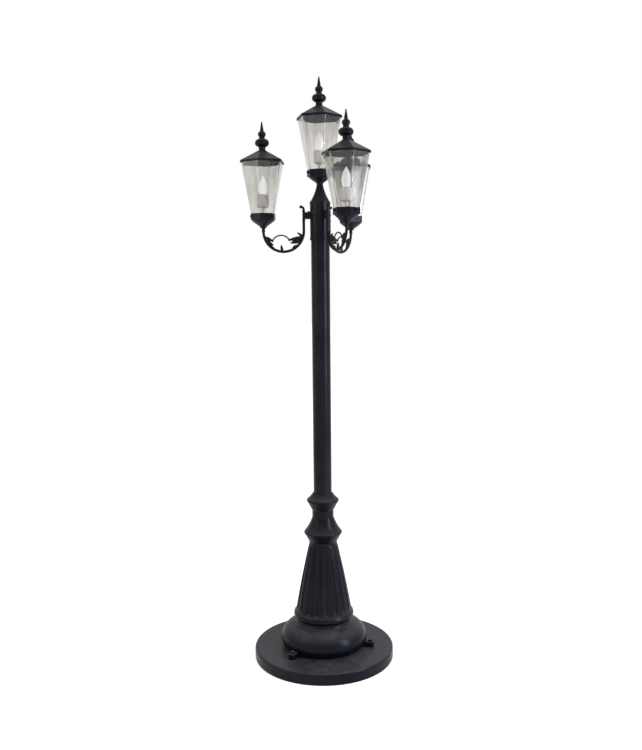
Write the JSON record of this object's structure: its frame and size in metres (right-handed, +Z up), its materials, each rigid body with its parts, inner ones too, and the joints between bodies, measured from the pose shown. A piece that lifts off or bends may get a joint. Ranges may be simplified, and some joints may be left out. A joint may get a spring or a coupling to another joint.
{
  "type": "three-arm garden lamp post",
  "caption": "Free-standing garden lamp post: round base, fluted pedestal, plain pole, scroll arms with hexagonal clear lanterns, and a lantern of the same kind on top.",
  "frame": {"origin": "centre of the base's underside, on the post's axis", "axes": "+Z up along the post; -X along the left arm; -Y towards the front; the front and back arms point to -60 and +60 degrees from +X"},
  "size_m": [0.6107, 0.606, 2.4],
  "materials": {
    "black_iron": "satin",
    "black_steel": "satin",
    "black_castings": "satin",
    "black_fasteners": "satin",
    "zinc_steel": "satin",
    "lantern_glass": "gloss",
    "gasket_rubber": "matte",
    "white_socket": "gloss",
    "lamp_envelope": "gloss",
    "lamp_cap_brass": "satin",
    "lead_sheath": "matte",
    "black_nylon": "matte"
  },
  "bodies": {
    "post": {"arm_back": "black_castings", "arm_front": "black_castings", "arm_hub": "black_castings", "arm_left": "black_castings", "arm_screws": "black_fasteners", "base_cover": "zinc_steel", "base_disc": "black_iron", "base_drum": "black_iron", "cable_gland": "black_nylon", "cover_screws": "zinc_steel", "cup_back": "black_castings", "cup_front": "black_castings", "cup_left": "black_castings", "cup_top": "black_castings", "ear_bolts": "black_fasteners", "flange_bolts": "zinc_steel", "glass_back": "lantern_glass", "glass_front": "lantern_glass", "glass_gaskets": "gasket_rubber", "glass_left": "lantern_glass", "glass_top": "lantern_glass", "hub_screws": "black_fasteners", "junction_block": "black_nylon", "lead_back": "lead_sheath", "lead_front": "lead_sheath", "lead_left": "lead_sheath", "lead_top": "lead_sheath", "lower_collar": "black_iron", "neck_sleeve": "black_iron", "nipple_nuts": "zinc_steel", "nipples": "zinc_steel", "pedestal": "black_iron", "pedestal_bolts": "zinc_steel", "pole": "black_steel", "pole_flange": "zinc_steel", "riser_lead": "lead_sheath", "socket_back": "white_socket", "socket_front": "white_socket", "socket_left": "white_socket", "socket_top": "white_socket", "spire": "black_castings", "terminal_block": "black_nylon", "thumb_screws": "black_fasteners", "upper_collar": "black_iron"},
    "lid_left": {"roof_left": "black_castings", "finial_left": "black_castings"},
    "lamp_left": {"lamp_cap_left": "lamp_cap_brass", "lamp_glass_left": "lamp_envelope"},
    "lid_front": {"roof_front": "black_castings", "finial_front": "black_castings"},
    "lamp_front": {"lamp_cap_front": "lamp_cap_brass", "lamp_glass_front": "lamp_envelope"},
    "lid_back": {"roof_back": "black_castings", "finial_back": "black_castings"},
    "lamp_back": {"lamp_cap_back": "lamp_cap_brass", "lamp_glass_back": "lamp_envelope"},
    "lid_top": {"roof_top": "black_castings", "finial_top": "black_castings"},
    "lamp_top": {"lamp_cap_top": "lamp_cap_brass", "lamp_glass_top": "lamp_envelope"}
  },
  "joints": [
    {"name": "roof_lift_left", "type": "slide", "parent": "post", "child": "lid_left", "axis": [0, 0, 1], "range_m": [0, 0.15]},
    {"name": "lamp_turn_left", "type": "hinge", "parent": "post", "child": "lamp_left", "pos_m": [-0.2327, 0, 1.864], "axis": [0, 0, 1], "continuous": true},
    {"name": "roof_lift_front", "type": "slide", "parent": "post", "child": "lid_front", "axis": [0, 0, 1], "range_m": [0, 0.15]},
    {"name": "lamp_turn_front", "type": "hinge", "parent": "post", "child": "lamp_front", "pos_m": [0.11635, -0.20152, 1.864], "axis": [0, 0, 1], "continuous": true},
    {"name": "roof_lift_back", "type": "slide", "parent": "post", "child": "lid_back", "axis": [0, 0, 1], "range_m": [0, 0.15]},
    {"name": "lamp_turn_back", "type": "hinge", "parent": "post", "child": "lamp_back", "pos_m": [0.11635, 0.20152, 1.864], "axis": [0, 0, 1], "continuous": true},
    {"name": "roof_lift_top", "type": "slide", "parent": "post", "child": "lid_top", "axis": [0, 0, 1], "range_m": [0, 0.15]},
    {"name": "lamp_turn_top", "type": "hinge", "parent": "post", "child": "lamp_top", "pos_m": [0, 0, 2.034], "axis": [0, 0, 1], "continuous": true}
  ]
}
